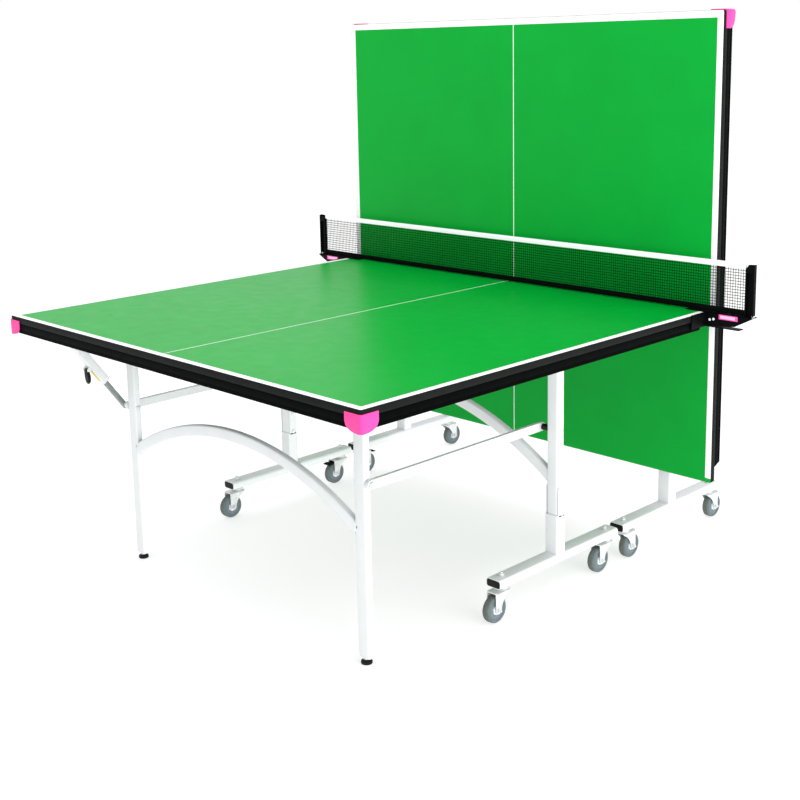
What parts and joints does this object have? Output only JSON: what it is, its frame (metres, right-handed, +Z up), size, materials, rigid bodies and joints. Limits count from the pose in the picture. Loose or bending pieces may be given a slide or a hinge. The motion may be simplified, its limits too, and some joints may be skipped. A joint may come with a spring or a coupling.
{
  "type": "table tennis table",
  "caption": "Rollaway table tennis table: flat playing half with net and end legs, and a second half folded upright as a rebound board, each on a wheeled trolley.",
  "frame": {"origin": "on the floor, at the middle of the plan of the whole table in its rebound set-up", "axes": "+X along the net, +Y from the playing end towards the upright half, +Z up"},
  "size_m": [1.83, 1.7418, 1.6063],
  "materials": {
    "board": "green roller-coated matt board with white lines",
    "rail": "black powder coat, satin",
    "guard": "bright pink moulded plastic",
    "frame": "white powder coat",
    "strut": "zinc-plated steel tube",
    "zinc": "bright zinc plate",
    "tyre": "grey rubber tyre on a pale plastic hub",
    "net": "dark green knotless nylon mesh",
    "tape": "white woven tape",
    "black": "black moulded plastic",
    "bracket": "black powder coat, satin"
  },
  "bodies": {
    "near_trolley": {"near_upright_frame": "frame", "near_wheel_bar_left": "frame", "near_wheel_bar_right": "frame"},
    "near_caster_left_outer_fork": {"near_caster_left_outer_fork": "zinc"},
    "near_caster_left_outer_wheel": {"near_caster_left_outer_wheel": "tyre"},
    "near_caster_left_inner_fork": {"near_caster_left_inner_fork": "zinc"},
    "near_caster_left_inner_wheel": {"near_caster_left_inner_wheel": "tyre"},
    "near_caster_left_inner_brake_pedal": {"near_caster_left_inner_brake_pedal": "black"},
    "near_link_left": {"near_link_left": "frame"},
    "near_caster_right_outer_fork": {"near_caster_right_outer_fork": "zinc"},
    "near_caster_right_outer_wheel": {"near_caster_right_outer_wheel": "tyre"},
    "near_caster_right_inner_fork": {"near_caster_right_inner_fork": "zinc"},
    "near_caster_right_inner_wheel": {"near_caster_right_inner_wheel": "tyre"},
    "near_link_right": {"near_link_right": "frame"},
    "near_top": {"near_board": "board", "near_end_rail": "rail", "near_side_rail_left": "rail", "near_corner_guard_left": "guard", "near_bearer_left": "frame", "near_side_rail_right": "rail", "near_corner_guard_right": "guard", "near_bearer_right": "frame", "net_mesh": "net", "net_tape": "tape", "net_support_left": "bracket", "net_support_right": "bracket"},
    "near_legs": {"near_leg_frame": "frame"},
    "near_foot_left": {"near_foot_left": "black"},
    "near_foot_right": {"near_foot_right": "black"},
    "near_strut_inner": {"near_strut_inner": "strut"},
    "near_strut_outer": {"near_strut_outer": "frame"},
    "near_strut_lever": {"near_strut_lever": "black"},
    "far_trolley": {"far_upright_frame": "frame", "far_wheel_bar_left": "frame", "far_wheel_bar_right": "frame"},
    "far_caster_left_outer_fork": {"far_caster_left_outer_fork": "zinc"},
    "far_caster_left_outer_wheel": {"far_caster_left_outer_wheel": "tyre"},
    "far_caster_left_inner_fork": {"far_caster_left_inner_fork": "zinc"},
    "far_caster_left_inner_wheel": {"far_caster_left_inner_wheel": "tyre"},
    "far_link_left": {"far_link_left": "frame"},
    "far_caster_right_outer_fork": {"far_caster_right_outer_fork": "zinc"},
    "far_caster_right_outer_wheel": {"far_caster_right_outer_wheel": "tyre"},
    "far_caster_right_inner_fork": {"far_caster_right_inner_fork": "zinc"},
    "far_caster_right_inner_wheel": {"far_caster_right_inner_wheel": "tyre"},
    "far_caster_right_inner_brake_pedal": {"far_caster_right_inner_brake_pedal": "black"},
    "far_link_right": {"far_link_right": "frame"},
    "far_top": {"far_board": "board", "far_end_rail": "rail", "far_side_rail_left": "rail", "far_corner_guard_left": "guard", "far_bearer_left": "frame", "far_side_rail_right": "rail", "far_corner_guard_right": "guard", "far_bearer_right": "frame"},
    "far_legs": {"far_leg_frame": "frame"},
    "far_foot_left": {"far_foot_left": "black"},
    "far_foot_right": {"far_foot_right": "black"},
    "far_strut_inner": {"far_strut_inner": "strut"},
    "far_strut_outer": {"far_strut_outer": "frame"},
    "far_strut_lever": {"far_strut_lever": "black"}
  },
  "joints": [
    {"name": "near_fold", "type": "hinge", "parent": "near_trolley", "child": "near_top", "pos_m": [0, 0.0224, 0.713], "axis": [-1, 0, 0], "range_deg": [0, 90]},
    {"name": "near_leg_swing", "type": "hinge", "parent": "near_top", "child": "near_legs", "pos_m": [0, -0.6296, 0.713], "axis": [-1, 0, 0], "range_deg": [-91, 1]},
    {"name": "near_link_left_swing", "type": "hinge", "parent": "near_trolley", "child": "near_link_left", "pos_m": [-0.529, 0.0224, 0.477], "axis": [-1, 0, 0], "range_deg": [-1, 91]},
    {"name": "near_foot_left_adjust", "type": "slide", "parent": "near_legs", "child": "near_foot_left", "axis": [0, 0, 1], "range_m": [-0.012, 0]},
    {"name": "near_link_right_swing", "type": "hinge", "parent": "near_trolley", "child": "near_link_right", "pos_m": [0.529, 0.0224, 0.477], "axis": [-1, 0, 0], "range_deg": [-1, 91]},
    {"name": "near_foot_right_adjust", "type": "slide", "parent": "near_legs", "child": "near_foot_right", "axis": [0, 0, 1], "range_m": [-0.012, 0]},
    {"name": "near_strut_outer_swing", "type": "hinge", "parent": "near_top", "child": "near_strut_outer", "pos_m": [-0.553, -0.7976, 0.705], "axis": [-1, 0, 0], "range_deg": [-60, 1]},
    {"name": "near_strut_inner_swing", "type": "hinge", "parent": "near_legs", "child": "near_strut_inner", "pos_m": [-0.553, -0.6296, 0.477], "axis": [-1, 0, 0], "range_deg": [-1, 40]},
    {"name": "near_strut_lever_squeeze", "type": "hinge", "parent": "near_strut_outer", "child": "near_strut_lever", "pos_m": [-0.553, -0.75044, 0.6056], "axis": [1, 0, 0], "range_deg": [0, 22], "stiffness_Nm_per_rad": 0.6, "springref_deg": -17.19},
    {"name": "near_caster_left_outer_swivel", "type": "hinge", "parent": "near_trolley", "child": "near_caster_left_outer_fork", "pos_m": [-0.58, -0.2066, 0], "axis": [0, 0, 1], "continuous": true},
    {"name": "near_caster_left_outer_roll", "type": "hinge", "parent": "near_caster_left_outer_fork", "child": "near_caster_left_outer_wheel", "pos_m": [-0.58, -0.2366, 0.0375], "axis": [1, 0, 0], "continuous": true},
    {"name": "near_caster_left_inner_swivel", "type": "hinge", "parent": "near_trolley", "child": "near_caster_left_inner_fork", "pos_m": [-0.58, 0.2514, 0], "axis": [0, 0, 1], "continuous": true},
    {"name": "near_caster_left_inner_roll", "type": "hinge", "parent": "near_caster_left_inner_fork", "child": "near_caster_left_inner_wheel", "pos_m": [-0.58, 0.2214, 0.0375], "axis": [1, 0, 0], "continuous": true},
    {"name": "near_caster_left_inner_brake_press", "type": "hinge", "parent": "near_caster_left_inner_fork", "child": "near_caster_left_inner_brake_pedal", "pos_m": [-0.58, 0.2394, 0.08], "axis": [1, 0, 0], "range_deg": [0, 6]},
    {"name": "near_caster_right_outer_swivel", "type": "hinge", "parent": "near_trolley", "child": "near_caster_right_outer_fork", "pos_m": [0.58, -0.2066, 0], "axis": [0, 0, 1], "continuous": true},
    {"name": "near_caster_right_outer_roll", "type": "hinge", "parent": "near_caster_right_outer_fork", "child": "near_caster_right_outer_wheel", "pos_m": [0.58, -0.2366, 0.0375], "axis": [1, 0, 0], "continuous": true},
    {"name": "near_caster_right_inner_swivel", "type": "hinge", "parent": "near_trolley", "child": "near_caster_right_inner_fork", "pos_m": [0.58, 0.2514, 0], "axis": [0, 0, 1], "continuous": true},
    {"name": "near_caster_right_inner_roll", "type": "hinge", "parent": "near_caster_right_inner_fork", "child": "near_caster_right_inner_wheel", "pos_m": [0.58, 0.2214, 0.0375], "axis": [1, 0, 0], "continuous": true},
    {"name": "far_roll", "type": "slide", "parent": "near_trolley", "child": "far_trolley", "axis": [0, 1, 0], "range_m": [0, 0.4225]},
    {"name": "far_fold", "type": "hinge", "parent": "far_trolley", "child": "far_top", "pos_m": [0, 0.5744, 0.713], "axis": [-1, 0, 0], "range_deg": [0, 90]},
    {"name": "far_leg_swing", "type": "hinge", "parent": "far_top", "child": "far_legs", "pos_m": [0, 0.5744, 1.365], "axis": [-1, 0, 0], "range_deg": [-91, 1]},
    {"name": "far_link_left_swing", "type": "hinge", "parent": "far_trolley", "child": "far_link_left", "pos_m": [0.529, 0.5744, 0.477], "axis": [-1, 0, 0], "range_deg": [-1, 91]},
    {"name": "far_foot_left_adjust", "type": "slide", "parent": "far_legs", "child": "far_foot_left", "axis": [0, 0, 1], "range_m": [-0.012, 0]},
    {"name": "far_link_right_swing", "type": "hinge", "parent": "far_trolley", "child": "far_link_right", "pos_m": [-0.529, 0.5744, 0.477], "axis": [-1, 0, 0], "range_deg": [-1, 91]},
    {"name": "far_foot_right_adjust", "type": "slide", "parent": "far_legs", "child": "far_foot_right", "axis": [0, 0, 1], "range_m": [-0.012, 0]},
    {"name": "far_strut_outer_swing", "type": "hinge", "parent": "far_top", "child": "far_strut_outer", "pos_m": [0.553, 0.5824, 1.533], "axis": [-1, 0, 0], "range_deg": [-60, 1]},
    {"name": "far_strut_inner_swing", "type": "hinge", "parent": "far_legs", "child": "far_strut_inner", "pos_m": [0.553, 0.5744, 1.129], "axis": [-1, 0, 0], "range_deg": [-1, 40]},
    {"name": "far_strut_lever_squeeze", "type": "hinge", "parent": "far_strut_outer", "child": "far_strut_lever", "pos_m": [0.553, 0.60126, 1.4246], "axis": [-1, 0, 0], "range_deg": [0, 22], "stiffness_Nm_per_rad": 0.6, "springref_deg": -17.19},
    {"name": "far_caster_left_outer_swivel", "type": "hinge", "parent": "far_trolley", "child": "far_caster_left_outer_fork", "pos_m": [0.58, 0.8034, 0], "axis": [0, 0, 1], "continuous": true},
    {"name": "far_caster_left_outer_roll", "type": "hinge", "parent": "far_caster_left_outer_fork", "child": "far_caster_left_outer_wheel", "pos_m": [0.58, 0.8334, 0.0375], "axis": [1, 0, 0], "continuous": true},
    {"name": "far_caster_left_inner_swivel", "type": "hinge", "parent": "far_trolley", "child": "far_caster_left_inner_fork", "pos_m": [0.58, 0.3454, 0], "axis": [0, 0, 1], "continuous": true},
    {"name": "far_caster_left_inner_roll", "type": "hinge", "parent": "far_caster_left_inner_fork", "child": "far_caster_left_inner_wheel", "pos_m": [0.58, 0.3754, 0.0375], "axis": [1, 0, 0], "continuous": true},
    {"name": "far_caster_right_outer_swivel", "type": "hinge", "parent": "far_trolley", "child": "far_caster_right_outer_fork", "pos_m": [-0.58, 0.8034, 0], "axis": [0, 0, 1], "continuous": true},
    {"name": "far_caster_right_outer_roll", "type": "hinge", "parent": "far_caster_right_outer_fork", "child": "far_caster_right_outer_wheel", "pos_m": [-0.58, 0.8334, 0.0375], "axis": [1, 0, 0], "continuous": true},
    {"name": "far_caster_right_inner_swivel", "type": "hinge", "parent": "far_trolley", "child": "far_caster_right_inner_fork", "pos_m": [-0.58, 0.3454, 0], "axis": [0, 0, 1], "continuous": true},
    {"name": "far_caster_right_inner_roll", "type": "hinge", "parent": "far_caster_right_inner_fork", "child": "far_caster_right_inner_wheel", "pos_m": [-0.58, 0.3754, 0.0375], "axis": [1, 0, 0], "continuous": true},
    {"name": "far_caster_right_inner_brake_press", "type": "hinge", "parent": "far_caster_right_inner_fork", "child": "far_caster_right_inner_brake_pedal", "pos_m": [-0.58, 0.3574, 0.08], "axis": [-1, 0, 0], "range_deg": [0, 6]}
  ],
  "couplings": [
    {"joint": "near_leg_swing", "follows": "near_fold", "ratio": -1},
    {"joint": "near_link_left_swing", "follows": "near_fold", "ratio": 1},
    {"joint": "near_link_right_swing", "follows": "near_fold", "ratio": 1},
    {"joint": "near_strut_outer_swing", "follows": "near_fold", "ratio": -0.60833},
    {"joint": "near_strut_inner_swing", "follows": "near_fold", "ratio": 0.39167},
    {"joint": "far_leg_swing", "follows": "far_fold", "ratio": -1},
    {"joint": "far_link_left_swing", "follows": "far_fold", "ratio": 1},
    {"joint": "far_link_right_swing", "follows": "far_fold", "ratio": 1},
    {"joint": "far_strut_outer_swing", "follows": "far_fold", "ratio": -0.60833},
    {"joint": "far_strut_inner_swing", "follows": "far_fold", "ratio": 0.39167},
    {"joint": "far_roll", "follows": "far_fold", "m_per_rad": 0.26865}
  ]
}
